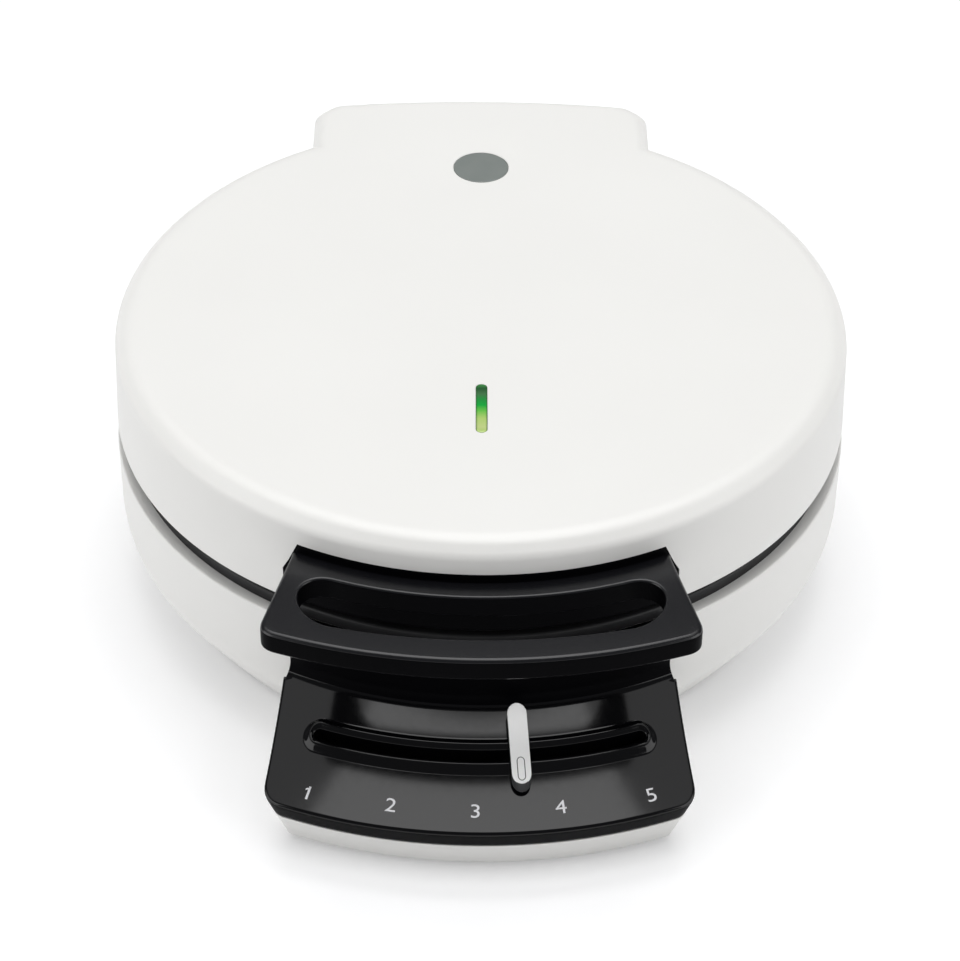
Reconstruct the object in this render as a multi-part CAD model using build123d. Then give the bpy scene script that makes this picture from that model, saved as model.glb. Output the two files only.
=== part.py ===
from build123d import *
import os
from math import atan, atan2, cos, degrees, hypot, radians, sin, sqrt, tan

# Heart waffle maker. While it is drawn, the axis of the two round cooking plates is x = y = 0,
# the handle points to -Y and the floor is z = 0. All sizes are millimetres.

# Radius of the round casing, which everything at its edge follows
base_radius = 124.0
overrun = 10.0

# Lid casing
lid_step = 0.4
lid_taper = 1.1
lid_top = 101.2
lid_rim = 67.4
lid_wall = 3.0
bevel_width = 4.3
bevel_height = 4.5

# Neck at the back of the lid, and the block under it at the back of the base
neck_half_width = 61.3
neck_reach = 12.9
neck_rear_bulge = 3.5
neck_corner = 5.7
neck_wall = 2.4
neck_front = 80.0
tail_top = 50.3
tail_bottom_bevel = 5.0
tail_inset = 0.4

# Hinge
hinge_inset = 9.3
hinge_z = 63.0
knuckle_radius = 6.2
knuckle_bevel = 3.6
knuckle_half_length = 44.0
hinge_end_gap = 0.5
lug_length = 10.5
pin_radius = 2.0
pin_grip = 14.0
pin_clearance = 0.05
web_rear_reach = 1.5
web_depth = 7.6

# Base casing
ledge_height = 58.6
knee_height = 29.6
foot_ring_step = 18.6
bottom_height = 1.5
hollow_floor_step = 1.4
hollow_lean = 14.5
hollow_sides = 36
base_wall = 2.6
floor_thickness = 3.0

# Control deck: the tongue at the front, its black cover and the slot for the lever
deck_reach = 41.1
crease_height = 20.5
deck_slope = 0.513
tongue_toe_step = 6.7
tongue_side_start = 11.9
tongue_side_flare = 0.334
tongue_draft = 19.4
tongue_corner = 2.0
cover_skirt = 8.2
cover_thickness = 2.4
cover_joint = 0.2
tray_wall = 2.4
apron_half_width = 62.2
apron_thickness = 2.2
apron_top = 57.6
apron_bend = 2.5
slot_reach = 18.1
slot_width = 3.6
slot_half_angle = 21.6
slot_rim_width = 3.1
slot_rim_height = 1.3
slot_rim_bevel = 1.4
cover_post_step = 9.9
cover_post_angle = 14.0
cover_post_size = 6.0
cover_post_height = 8.0

# Handle
handle_top = 86.9
handle_thickness = 7.9
handle_root_half_width = 58.9
handle_root_inset = 14.0
handle_root_depth = 15.0
handle_nose_half_width = 66.5
handle_side_reach = 16.0
handle_reach = 34.05
handle_front_radius = 179.85
handle_corner = 8.0
handle_bevel = 1.0
grip_front_reach = 24.1
grip_front_radius = 185.1
grip_rear_reach = 5.5
grip_rear_radius = 135.1
grip_half_width = 55.5
grip_corner = 9.0
flange_top = 90.0
flange_top_half_width = 56.7
flange_low_half_width = 61.6
flange_low = 68.0
flange_plate = 3.6
flange_recess = 0.3
notch_clearance = 0.25
handle_tab_depth = 13.0
handle_tab_half_width = 42.0
handle_tab_thickness = 3.0
handle_post_x = 30.0
handle_post_inset = 11.0

# Cooking plates and what carries them, written for the lower half
parting_height = 63.05
plate_gap = 0.5
plate_radius = 102.1
plate_thickness = 10.8
lower_rim_step = 4.0
upper_rim_gap = 1.0
heart_count = 5
heart_lobe_x = 20.5
heart_lobe_y = 67.5
heart_ridge = 3.4
heart_tip_flat = 3.0
heart_depth = 6.8
pad_size = 11.0
pad_height = 3.9
pad_draft = 14.0
pad_pitch = 16.0
pad_first_row = 33.0
pad_margin = 1.2
boss_count = 3
boss_radius = 86.5
boss_size = 8.0
boss_height = 2.2

# Posts that carry the plates
post_count = 4
post_radius = 98.0
post_size = 7.6

# Heating, thermostat and temperature lever
element_radius = 62.0
element_width = 7.0
element_height = 6.0
element_sides = 10
element_gap = 16.0
blade_width = 6.3
blade_thickness = 0.8
blade_length = 9.0
shield_thickness = 0.8
shield_pan_radius = 78.0
shield_flange_radius = 96.0
shield_window_x = 27.0
shield_window_y = 14.0
thermostat_half_length = 14.0
thermostat_half_width = 9.0
thermostat_height = 12.0
blade_rise = 5.0
strap_half_length = 20.0
strap_half_width = 5.0
strap_thickness = 1.2
fuse_length = 20.0
fuse_width = 6.0
fuse_y = -34.0
shaft_radius = 3.0
shaft_sides = 8
shaft_clearance = 0.05
shaft_foot = 8.3
shaft_seat_depth = 6.0
pivot_boss_size = 14.0
pivot_boss_top = 14.0
lever_height = 22.0
lever_thickness = 2.0
lever_root_width = 13.0
lever_tip_width = 8.0
lever_hub_radius = 8.0
lever_hub_height = 7.0
stem_depth = 2.4
stem_width = 5.0
stem_grip = 2.0
knob_length = 22.3
knob_width = 6.1
knob_thickness = 3.9
knob_clearance = 2.0
knob_slope = 0.56
knob_shift = 0.75
rest_angle = 4.9

# Lamp, feet, terminals and the cord's bush
lens_y = -53.4
lens_width = 4.2
lens_length = 26.0
lens_flange = 1.6
lens_flange_thickness = 2.0
lens_stand = 0.2
lamp_box_margin = 3.0
lamp_box_height = 9.0
lamp_box_wall = 1.4
lamp_radius = 2.5
lamp_length = 20.0
foot_size = 14.0
foot_corner = 3.0
front_foot_x = 44.0
front_foot_inset = 30.4
rear_foot_x = 46.0
rear_foot_inset = 15.9
terminal_x = -36.0
terminal_inset = 37.9
terminal_length = 32.0
terminal_width = 14.0
terminal_height = 15.0
terminal_count = 3
gland_z = 26.0
gland_size = 11.0
gland_collar = 17.0
gland_collar_thickness = 2.5
gland_corner = 3.0
gland_bore_radius = 3.6

# Places that follow from the sizes above
lid_rim_radius = base_radius - lid_step
lid_edge_radius = lid_rim_radius - lid_taper
neck_rear = base_radius + neck_reach
hinge_y = neck_rear - hinge_inset
foot_ring_radius = base_radius - foot_ring_step
hollow_floor_radius = foot_ring_radius - hollow_floor_step
crease_radius = base_radius + deck_reach
tongue_toe_radius = crease_radius - tongue_toe_step
slot_radius = base_radius + slot_reach
cover_post_radius = slot_radius + cover_post_step
handle_root_y = handle_root_inset - base_radius
handle_side_end_y = -(base_radius + handle_side_reach)
handle_front_y = -(base_radius + handle_reach)
grip_front_y = -(base_radius + grip_front_reach)
grip_rear_y = -(base_radius + grip_rear_reach)
handle_post_radius = base_radius - handle_post_inset
lower_rim_radius = base_radius - lower_rim_step
upper_rim_radius = lid_edge_radius - lid_wall - upper_rim_gap
front_foot_y = front_foot_inset - tongue_toe_radius
rear_foot_y = neck_rear - rear_foot_inset
terminal_y = neck_rear - terminal_inset
plate_face = parting_height - plate_gap / 2
plate_underside = plate_face - plate_thickness
boss_underside = plate_underside - boss_height
element_bottom = plate_underside - element_height
thermostat_bottom = plate_underside - thermostat_height
floor_top = bottom_height + floor_thickness
roof = lid_top - lid_wall
shoulder_height = lid_top - bevel_height
bevel_angle = degrees(atan2(bevel_width, bevel_height))
lid_draft = (lid_rim_radius - lid_edge_radius) / (shoulder_height - lid_rim)
heart_pitch = 360 / heart_count
boss_angles = [90 + 360 / boss_count * step for step in range(boss_count)]
post_angles = [45 + 360 / post_count * step for step in range(post_count)]
slot_end_angle = slot_half_angle - degrees(slot_width / 2 / slot_radius)


def ring(*corners):
    """Solid of revolution about the plate axis, from (radius, height) corners."""
    outline = Polyline(*[(radius, 0, height) for radius, height in corners], close=True)
    return revolve(make_face(outline), Axis.Z)


def rod(radius, low, high, x=0.0, y=0.0):
    """Upright cylinder between two heights."""
    return Pos(x, y, low) * Cylinder(radius, high - low, align=(Align.CENTER, Align.CENTER, Align.MIN))


def cross_rod(radius, left, right, y, z):
    """Cylinder along X between two x values."""
    return Pos((left + right) / 2, y, z) * Rot(0, 90, 0) * Cylinder(radius, right - left)


def block(x_range, y_range, z_range):
    """Box between three pairs of limits."""
    size = [high - low for low, high in (x_range, y_range, z_range)]
    middle = [(high + low) / 2 for low, high in (x_range, y_range, z_range)]
    return Pos(*middle) * Box(*size)


def around(middle, size):
    """Pair of limits for a block, from its middle and its size."""
    return middle - size / 2, middle + size / 2


def group(shapes):
    """Like pieces kept as separate solids of one node."""
    return Compound([solid for shape in shapes for solid in shape.solids()])


def turned(shape, angle):
    """The shape turned about the plate axis, in degrees."""
    return Rot(0, 0, angle) * shape


def upper(shape):
    """A shape of the lower half, mirrored into the lid."""
    return mirror(shape, about=Plane.XY.offset(parting_height))


def front_crossing(start, end, centre_y, radius):
    """Point where the line from start through end meets a circle centred on x = 0, on the -Y side."""
    dx = end[0] - start[0]
    dy = end[1] - start[1]
    fx = start[0]
    fy = start[1] - centre_y
    a = dx * dx + dy * dy
    b = fx * dx + fy * dy
    c = fx * fx + fy * fy - radius * radius
    step = (-b + sqrt(b * b - a * c)) / a
    return start[0] + step * dx, start[1] + step * dy


def neck_plan(inset):
    """Plan of the neck: straight sides, cut corners and a slightly bowed back."""
    corner_shift = inset * tan(radians(22.5))
    half = neck_half_width - inset
    corner_x = neck_half_width - neck_corner - corner_shift
    corner_y = neck_rear - neck_rear_bulge - inset
    side_y = neck_rear - neck_rear_bulge - neck_corner - corner_shift
    sides = Polyline(
        (-corner_x, corner_y),
        (-half, side_y),
        (-half, neck_front),
        (half, neck_front),
        (half, side_y),
        (corner_x, corner_y),
    )
    back = ThreePointArc((corner_x, corner_y), (0, neck_rear - inset), (-corner_x, corner_y))
    return make_face(sides + back)


def lid_form():
    """Outside of the lid casing: a slightly leaning wall, a bevel and a flat top, with the neck behind."""
    disc = ring(
        (0, lid_rim),
        (lid_rim_radius, lid_rim),
        (lid_edge_radius, shoulder_height),
        (lid_edge_radius - bevel_width, lid_top),
        (0, lid_top),
    )
    neck = Pos(0, 0, lid_rim) * extrude(neck_plan(0), shoulder_height - lid_rim)
    crown = Pos(0, 0, shoulder_height) * extrude(neck_plan(0), bevel_height, taper=bevel_angle)
    return disc + neck + crown


def lid_hollow():
    """Space inside the lid, open at the bottom and with flat hidden sides."""
    neck = Pos(0, 0, lid_rim - 1) * extrude(neck_plan(neck_wall), roof - lid_rim + 1)
    inside = RegularPolygon(lid_edge_radius - lid_wall, hollow_sides)
    return Pos(0, 0, lid_rim - 1) * extrude(inside, roof - lid_rim + 1) + neck


def root_plate(clearance, low):
    """Space of the handle's root plate in the front of the lid, as a block along Y."""
    knee = handle_top - handle_thickness
    half_top = flange_top_half_width + clearance
    half_low = flange_low_half_width + clearance
    outline = Polyline(
        (-half_top, 0, flange_top + clearance),
        (half_top, 0, flange_top + clearance),
        (half_low, 0, knee),
        (half_low, 0, low),
        (-half_low, 0, low),
        (-half_low, 0, knee),
        close=True,
    )
    return extrude(make_face(outline), amount=lid_rim_radius + overrun, dir=(0, -1, 0))


def make_lid_housing():
    shell = lid_form() - lid_hollow()
    notch = root_plate(notch_clearance, lid_rim - 1)
    shell -= notch - rod(lid_edge_radius - 2 * flange_plate, lid_rim - 2, lid_top)
    for side in (-1, 1):
        inner = side * (knuckle_half_length + hinge_end_gap)
        span = sorted((inner, inner + side * lug_length))
        lug = block(span, around(hinge_y, 2 * knuckle_radius), (hinge_z - knuckle_radius, roof + lid_wall / 2))
        lug = chamfer(lug.edges().filter_by(Axis.X).group_by(Axis.Z)[0], knuckle_bevel)
        lug &= extrude(neck_plan(neck_wall / 2), lid_top)
        shell += lug - cross_rod(pin_radius + pin_clearance, *span, hinge_y, hinge_z)
    for angle in post_angles:
        shell += turned(plate_post(2 * parting_height - plate_underside, roof + lid_wall / 2), angle)
    for x, y in handle_post_places():
        shell += block(around(x, post_size), around(y, post_size), (handle_top, roof + lid_wall / 2))
    window = SlotOverall(lens_length, lens_width, rotation=90)
    return shell - Pos(0, lens_y, roof - 1) * extrude(window, lid_wall + 2)


def plate_post(low, high):
    """Post that a plate is screwed to."""
    return block(around(post_radius, post_size), around(0, post_size), (low, high))


def handle_post_places():
    side_y = -sqrt(handle_post_radius**2 - handle_post_x**2)
    return [(-handle_post_x, side_y), (0, -handle_post_radius), (handle_post_x, side_y)]


def handle_plan():
    """Outline of the handle seen from above, without its finger slot."""
    root_x = handle_root_half_width
    back_y = handle_root_y + handle_root_depth
    nose = front_crossing(
        (root_x, handle_root_y),
        (handle_nose_half_width, handle_side_end_y),
        handle_front_y + handle_front_radius,
        handle_front_radius,
    )
    sides = Polyline(
        (-nose[0], nose[1]), (-root_x, handle_root_y), (-root_x, back_y), (root_x, back_y),
        (root_x, handle_root_y), nose,
    )
    front = ThreePointArc(nose, (0, handle_front_y), (-nose[0], nose[1]))
    plan = make_face(sides + front)
    return fillet(plan.vertices().sort_by(Axis.Y)[:2], handle_corner)


def grip_plan():
    """Outline of the finger slot through the handle."""
    half = grip_half_width
    rear_y = grip_rear_y + grip_rear_radius - sqrt(grip_rear_radius**2 - half**2)
    front_y = grip_front_y + grip_front_radius - sqrt(grip_front_radius**2 - half**2)
    outline = ThreePointArc((-half, rear_y), (0, grip_rear_y), (half, rear_y))
    outline += Line((half, rear_y), (half, front_y))
    outline += ThreePointArc((half, front_y), (0, grip_front_y), (-half, front_y))
    outline += Line((-half, front_y), (-half, rear_y))
    grip = make_face(outline)
    return fillet(grip.vertices(), grip_corner)


def make_handle():
    low = handle_top - handle_thickness
    plate = Pos(0, 0, low) * extrude(handle_plan(), handle_thickness)
    plate = chamfer(plate.edges().group_by(Axis.Z)[-1], handle_bevel)
    plate -= Pos(0, 0, low - 1) * extrude(grip_plan(), handle_thickness + 2)
    outer = lid_rim_radius - flange_recess
    low_outer = outer + (lid_rim - flange_low) * lid_draft
    top_outer = outer + (lid_rim - flange_top) * lid_draft
    band = ring(
        (top_outer - flange_plate, flange_low),
        (low_outer, flange_low),
        (top_outer, flange_top),
        (top_outer - flange_plate, flange_top),
    )
    inside = top_outer - flange_plate / 2
    tab = rod(inside, handle_top - handle_tab_thickness, handle_top)
    tab -= rod(inside - flange_plate / 2 - handle_tab_depth, 0, lid_top)
    tab &= block((-handle_tab_half_width, handle_tab_half_width), (-inside, 0), (0, lid_top))
    return (plate - rod(inside, 0, lid_top)) + (band & root_plate(0, flange_low)) + tab


def casing_form():
    """Outside of the round base casing: an upright wall above a leaning foot."""
    return ring(
        (0, bottom_height),
        (foot_ring_radius, bottom_height),
        (base_radius, knee_height),
        (base_radius, ledge_height),
        (0, ledge_height),
    )


def casing_hollow():
    """Space inside the base casing, wider towards its open top and with flat hidden sides."""
    floor = Pos(0, 0, floor_top) * RegularPolygon(hollow_floor_radius, hollow_sides)
    return extrude(floor, ledge_height - floor_top + 1, taper=-hollow_lean)


def tongue_form(inset):
    """The control tongue as a block that leans outwards on the way up, moved inwards by inset."""
    shift = inset / cos(radians(tongue_draft))
    radius = tongue_toe_radius - shift
    start_x = tongue_side_start - shift * hypot(1, tongue_side_flare)
    back = (start_x + neck_front * tongue_side_flare, -neck_front)
    ahead = (start_x + base_radius * tongue_side_flare, -base_radius)
    toe_x, toe_y = front_crossing(back, ahead, 0, radius)
    sides = Polyline((-toe_x, toe_y), (-back[0], back[1]), back, (toe_x, toe_y))
    toe = ThreePointArc((toe_x, toe_y), (0, -radius), (-toe_x, toe_y))
    plan = chamfer(make_face(sides + toe).vertices().sort_by(Axis.Y)[:2], tongue_corner)
    return Pos(0, 0, bottom_height) * extrude(plan, apron_top - bottom_height + 2, taper=-tongue_draft)


def deck_height(radius):
    """Height of the control deck's top at a distance from the plate axis."""
    return crease_height + (crease_radius - radius) * deck_slope


def below_deck(drop, inner=base_radius):
    """Everything outside the inner radius and below the deck's top, lowered by drop."""
    outer = crease_radius + overrun
    top = [(outer, deck_height(outer) - drop), (inner, deck_height(inner) - drop)]
    return ring((inner, 0), (outer, 0), *top)


def slot_plan():
    """Arc-shaped slot for the lever, round at both ends."""
    return SlotArc(CenterArc((0, 0), slot_radius, -90 - slot_end_angle, 2 * slot_end_angle), slot_width)


def make_slot_rim():
    """Bevelled bead swept round the slot's arc and round both its ends."""
    tilt = atan(deck_slope)
    half = slot_width / 2 + slot_rim_width

    def place(across, rise):
        radius = slot_radius + across * cos(tilt) + rise * sin(tilt)
        return radius, 0, deck_height(slot_radius) - across * sin(tilt) + rise * cos(tilt)

    outer_half = [(half + slot_rim_bevel, -slot_rim_height), (half - slot_rim_bevel, slot_rim_height)]
    inner_half = [(-across, rise) for across, rise in reversed(outer_half)]
    whole = Polyline(*[place(*point) for point in outer_half + inner_half], close=True)
    sweep = revolve(make_face(whole), Axis.Z, revolution_arc=2 * slot_end_angle)
    rim = turned(sweep, -90 - slot_end_angle)
    middle = [(0, slot_rim_height), (0, -slot_rim_height)]
    end_section = make_face(Polyline(*[place(*point) for point in outer_half + middle], close=True))
    end_axis = Axis(place(0, 0), (sin(tilt), 0, cos(tilt)))
    for side in (-1, 1):
        rim += turned(revolve(end_section, end_axis, revolution_arc=side * 180), -90 + side * slot_end_angle)
    return rim


def cover_post_places():
    x = cover_post_radius * sin(radians(cover_post_angle))
    y = -cover_post_radius * cos(radians(cover_post_angle))
    return [(-x, y), (x, y)]


def make_control_cover():
    wall = base_radius + cover_joint
    face = wall + apron_thickness
    outer = crease_radius + overrun
    form = ring(
        (wall, 0),
        (outer, 0),
        (outer, deck_height(outer)),
        (face + apron_bend, deck_height(face + apron_bend)),
        (face, deck_height(face) + apron_bend),
        (face, apron_top),
        (wall, apron_top),
    )
    cover = form & tongue_form(0)
    for side in (-1, 1):
        beside = sorted((side * apron_half_width, side * 2 * apron_half_width))
        cover -= block(beside, (-wall, 0), (deck_height(wall) - 1, apron_top + 1))
    cover -= below_deck(cover_skirt)
    cover -= tongue_form(cover_thickness) & below_deck(cover_thickness)
    cover += make_slot_rim()
    post_low = floor_top + cover_post_height + cover_joint
    for x, y in cover_post_places():
        post = block(around(x, cover_post_size), around(y, cover_post_size), (post_low, crease_height * 2))
        cover += post & below_deck(cover_thickness / 2)
    return cover - extrude(slot_plan(), apron_top)


def make_base_housing():
    front = block((-base_radius, base_radius), (-2 * base_radius, 0), (bottom_height, ledge_height))
    inside = block((-base_radius, base_radius), (-2 * base_radius, 0), (floor_top, ledge_height))
    shell = casing_form()
    shell += tongue_form(0) & below_deck(cover_skirt + cover_joint, neck_front) & front
    tail = Pos(0, 0, bottom_height) * extrude(neck_plan(tail_inset), tail_top - bottom_height)
    shell += chamfer(tail.edges().group_by(Axis.Z)[0], tail_bottom_bevel)
    shell -= casing_hollow()
    shell -= tongue_form(tray_wall) & below_deck(cover_skirt - 3, neck_front) & inside
    tail_room = neck_plan(tail_inset + base_wall)
    shell -= Pos(0, 0, floor_top) * extrude(tail_room, tail_top - base_wall - floor_top)
    web_y = around(hinge_y + web_rear_reach - web_depth / 2, web_depth)
    shell += block((-knuckle_half_length, knuckle_half_length), web_y, (tail_top - base_wall / 2, hinge_z))
    shell += cross_rod(knuckle_radius, -knuckle_half_length, knuckle_half_length, hinge_y, hinge_z)
    for side in (-1, 1):
        span = sorted((side * (knuckle_half_length - pin_grip), side * (knuckle_half_length + 1)))
        shell -= cross_rod(pin_radius, *span, hinge_y, hinge_z)
    core = rod(base_radius, bottom_height, plate_underside) & casing_form()
    for angle in post_angles:
        shell += turned(plate_post(floor_top - 1, plate_underside), angle) & core
    boss_half = around(0, pivot_boss_size)
    shell += block(boss_half, boss_half, (floor_top - 1, pivot_boss_top))
    shell -= shaft_socket(shaft_foot, pivot_boss_top + 1)
    for x, y in cover_post_places():
        post_z = (floor_top - 1, floor_top + cover_post_height)
        shell += block(around(x, cover_post_size), around(y, cover_post_size), post_z)
    return shell - gland_body()


def shaft_socket(low, high):
    """Square socket in which the thermostat's shaft turns."""
    across = around(0, 2 * (shaft_radius + shaft_clearance))
    return block(across, across, (low, high))


def make_rubber_feet():
    front = [(-front_foot_x, front_foot_y), (front_foot_x, front_foot_y)]
    rear = [(-rear_foot_x, rear_foot_y), (rear_foot_x, rear_foot_y)]
    foot = extrude(chamfer(Rectangle(foot_size, foot_size).vertices(), foot_corner), bottom_height)
    return group(Pos(x, y, 0) * foot for x, y in front + rear)


def gland_body():
    """The part of the cord's bush that fills the hole in the tail's back wall."""
    back = neck_rear - tail_inset
    return block(around(0, gland_size), (back - base_wall - 2, back), around(gland_z, gland_size))


def make_cord_gland():
    back = neck_rear - tail_inset
    collar_y = (back, back + gland_collar_thickness)
    collar = block(around(0, gland_collar), collar_y, around(gland_z, gland_collar))
    collar = chamfer(collar.edges().filter_by(Axis.Y), gland_corner)
    bore = Pos(0, back, gland_z) * Rot(90, 0, 0) * Cylinder(gland_bore_radius, gland_collar)
    return gland_body() + collar - bore


def heart_outline():
    """One heart with its tip near the plate axis and its lobes towards +Y."""
    half = radians(heart_pitch / 2)
    across = Vector(cos(half), -sin(half))
    lobe = Vector(heart_lobe_x, heart_lobe_y)
    lobe_radius = heart_ridge / -2 - lobe.dot(across)
    touch = lobe + across * lobe_radius
    far = lobe + lobe.normalized() * lobe_radius
    tip = Vector(0, heart_ridge / 2 / sin(half))
    cusp = Vector(0, heart_lobe_y + sqrt(lobe_radius**2 - heart_lobe_x**2))
    right = Line(tip, touch) + ThreePointArc(touch, far, cusp)
    heart = make_face(right + mirror(right, about=Plane.YZ))
    return chamfer(heart.vertices().sort_by(Axis.Y)[0], heart_tip_flat)


def pad_places(heart):
    """Centres of the grid pads that lie wholly inside the heart."""
    reach = pad_size / 2 + pad_margin
    face = heart.face()
    places = []
    for row in range(7):
        for column in range(-3, 4):
            x = column * pad_pitch
            y = pad_first_row + row * pad_pitch
            corners = [(x + sx * reach, y + sy * reach) for sx in (-1, 1) for sy in (-1, 1)]
            if all(face.is_inside(Vector(*corner)) for corner in corners):
                places.append((x, y))
    return places


def heart_space():
    """The space of one heart in the plate, with its pads left standing."""
    heart = heart_outline()
    space = Pos(0, 0, plate_face) * extrude(heart, -heart_depth)
    pad = extrude(Rectangle(pad_size, pad_size), pad_height, taper=pad_draft)
    for x, y in pad_places(heart):
        space -= Pos(x, y, plate_face - heart_depth) * pad
    return space


def make_plate(rim_radius):
    """Cast cooking plate: a thin outer rim, a ring of hearts with their tips inwards, bosses under it."""
    back = RegularPolygon(plate_radius, hollow_sides)
    plate = Pos(0, 0, plate_underside) * extrude(back, ledge_height - plate_underside + 1)
    plate += rod(rim_radius, ledge_height, plate_face)
    space = heart_space()
    for step in range(heart_count):
        plate -= turned(space, heart_pitch * step)
    boss = block(around(boss_radius, boss_size), around(0, boss_size), (boss_underside, plate_underside + 1))
    for angle in boss_angles:
        plate += turned(boss, angle)
    return plate


def make_heating_element():
    """Open loop of sheathed element bent round under the plate, with a blade at each end."""
    plan = RegularPolygon(element_radius + element_width / 2, element_sides)
    plan -= RegularPolygon(element_radius - element_width / 2, element_sides)
    loop = Pos(0, 0, element_bottom) * extrude(plan, element_height)
    loop -= block(around(0, element_gap), (0, 2 * element_radius), (element_bottom - 1, plate_underside + 1))
    for x, y in blade_places():
        blade_z = (element_bottom - blade_length, element_bottom + 1)
        loop += block(around(x, blade_thickness), around(y, blade_width), blade_z)
    return loop


def blade_places():
    x = element_gap / 2 + 2
    y = element_radius * cos(radians(180 / element_sides))
    return [(-x, y), (x, y)]


def make_heat_shield():
    """Folded sheet dish under the element, held against the plate's bosses."""
    pan_low = element_bottom - shield_thickness
    pan = RegularPolygon(shield_pan_radius + shield_thickness, element_sides)
    flange = RegularPolygon(shield_flange_radius, element_sides)
    shield = Pos(0, 0, pan_low) * extrude(pan, boss_underside - pan_low)
    shield += Pos(0, 0, boss_underside - shield_thickness) * extrude(flange, shield_thickness)
    hollow = RegularPolygon(shield_pan_radius, element_sides)
    shield -= Pos(0, 0, element_bottom) * extrude(hollow, element_height)
    low_high = (pan_low - 1, boss_underside)
    shield -= block(around(0, 2 * shield_window_x), around(0, 2 * shield_window_y), low_high)
    for x, y in blade_places():
        shield -= block(around(x, blade_thickness + 4), around(y, blade_width + 3), low_high)
    return shield


def make_thermostat():
    body = block(
        (-thermostat_half_length, thermostat_half_length),
        (-thermostat_half_width, thermostat_half_width),
        (thermostat_bottom, plate_underside),
    )
    blade_y = strap_half_width + 2
    blade_z = thermostat_bottom + blade_rise
    for side in (-1, 1):
        reach = sorted((side * thermostat_half_length, side * (thermostat_half_length + blade_length)))
        body += block(reach, around(blade_y, blade_thickness), around(blade_z, blade_width))
    return body - shaft_socket(0, thermostat_bottom + shaft_seat_depth + 0.3)


def make_thermostat_bracket():
    """Strap that holds the thermostat up against the plate."""
    strap_z = (thermostat_bottom - strap_thickness, thermostat_bottom)
    strap = block((-strap_half_length, strap_half_length), (-strap_half_width, strap_half_width), strap_z)
    for side in (-1, 1):
        leg_x = sorted((side * (strap_half_length - strap_thickness), side * strap_half_length))
        strap += block(leg_x, (-strap_half_width, strap_half_width), (strap_z[0], plate_underside))
    hole = 2 * shaft_radius + 2
    return strap - block(around(0, hole), around(0, hole), (strap_z[0] - 1, strap_z[1] + 1))


def make_thermal_fuse():
    top = element_bottom - shield_thickness
    return block(around(0, fuse_length), around(fuse_y, fuse_width), (top - fuse_width, top))


def make_terminal_block():
    body_z = (floor_top, floor_top + terminal_height)
    body = block(around(terminal_x, terminal_length), around(terminal_y, terminal_width), body_z)
    pitch = terminal_length / terminal_count
    for step in range(terminal_count):
        x = terminal_x + (step - (terminal_count - 1) / 2) * pitch
        way = (floor_top + terminal_height / 2, floor_top + terminal_height + 1)
        body -= block(around(x, pitch / 2), around(terminal_y, terminal_width / 2), way)
    return body


def make_hinge_pins():
    inner = knuckle_half_length - pin_grip
    outer = knuckle_half_length + hinge_end_gap + lug_length
    spans = [sorted((side * inner, side * outer)) for side in (-1, 1)]
    return group(cross_rod(pin_radius, *span, hinge_y, hinge_z) for span in spans)


def make_thermostat_shaft():
    length = thermostat_bottom + shaft_seat_depth - shaft_foot
    return Pos(0, 0, shaft_foot) * extrude(RegularPolygon(shaft_radius, shaft_sides), length)


def knob_underside(radius):
    """Height of the knob's underside, which slopes a little more than the deck."""
    return deck_height(slot_radius) + knob_clearance - (radius - slot_radius) * knob_slope


def stem(extra, top):
    """The tab under the knob, grown by extra on each side."""
    x_range = around(0, stem_width + 2 * extra)
    return block(x_range, around(-slot_radius, stem_depth + 2 * extra), (lever_height, top))


def make_slider_lever():
    """Flat arm from the thermostat's shaft to the tab that stands up through the slot."""
    tip = slot_radius + lever_tip_width / 2
    arm = Polyline(
        (-lever_root_width / 2, 0), (-lever_tip_width / 2, -tip), (lever_tip_width / 2, -tip),
        (lever_root_width / 2, 0), close=True,
    )
    lever = Pos(0, 0, lever_height) * extrude(make_face(arm), lever_thickness)
    hub_low = lever_height + (lever_thickness - lever_hub_height) / 2
    lever += Pos(0, 0, hub_low) * extrude(RegularPolygon(lever_hub_radius, 6), lever_hub_height)
    lever += stem(0, knob_underside(slot_radius) + stem_grip)
    return turned(lever, rest_angle) - make_thermostat_shaft()


def make_slider_knob():
    """Bar with round ends that lies along the slope of the deck."""
    middle = slot_radius + knob_shift
    near = middle - knob_length
    far = middle + knob_length
    side = Polyline(
        (-knob_width, -near, knob_underside(near)),
        (-knob_width, -far, knob_underside(far)),
        (-knob_width, -far, knob_underside(far) + knob_thickness),
        (-knob_width, -near, knob_underside(near) + knob_thickness),
        close=True,
    )
    bar = extrude(make_face(side), amount=2 * knob_width, dir=(1, 0, 0))
    bar &= Pos(0, -middle) * extrude(SlotOverall(knob_length, knob_width, rotation=90), lid_top)
    bar -= stem(shaft_clearance, knob_underside(slot_radius) + stem_grip)
    return turned(bar, rest_angle)


def make_lamp_lens():
    window = SlotOverall(lens_length, lens_width, rotation=90)
    lens = Pos(0, lens_y, roof - 0.5) * extrude(window, lid_wall + lens_stand + 0.5)
    flange_x = around(0, lens_width + 2 * lens_flange)
    flange_y = around(lens_y, lens_length + 2 * lens_flange)
    return lens + block(flange_x, flange_y, (roof - lens_flange_thickness, roof))


def make_lamp_holder():
    top = roof - lens_flange_thickness
    low = top - lamp_box_height
    width = lens_width + 2 * lamp_box_margin
    length = lens_length + 2 * lamp_box_margin
    box = block(around(0, width), around(lens_y, length), (low, top))
    hollow_x = around(0, width - 2 * lamp_box_wall)
    hollow_y = around(lens_y, length - 2 * lamp_box_wall)
    return box - block(hollow_x, hollow_y, (low + lamp_box_wall, top + 1))


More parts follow.
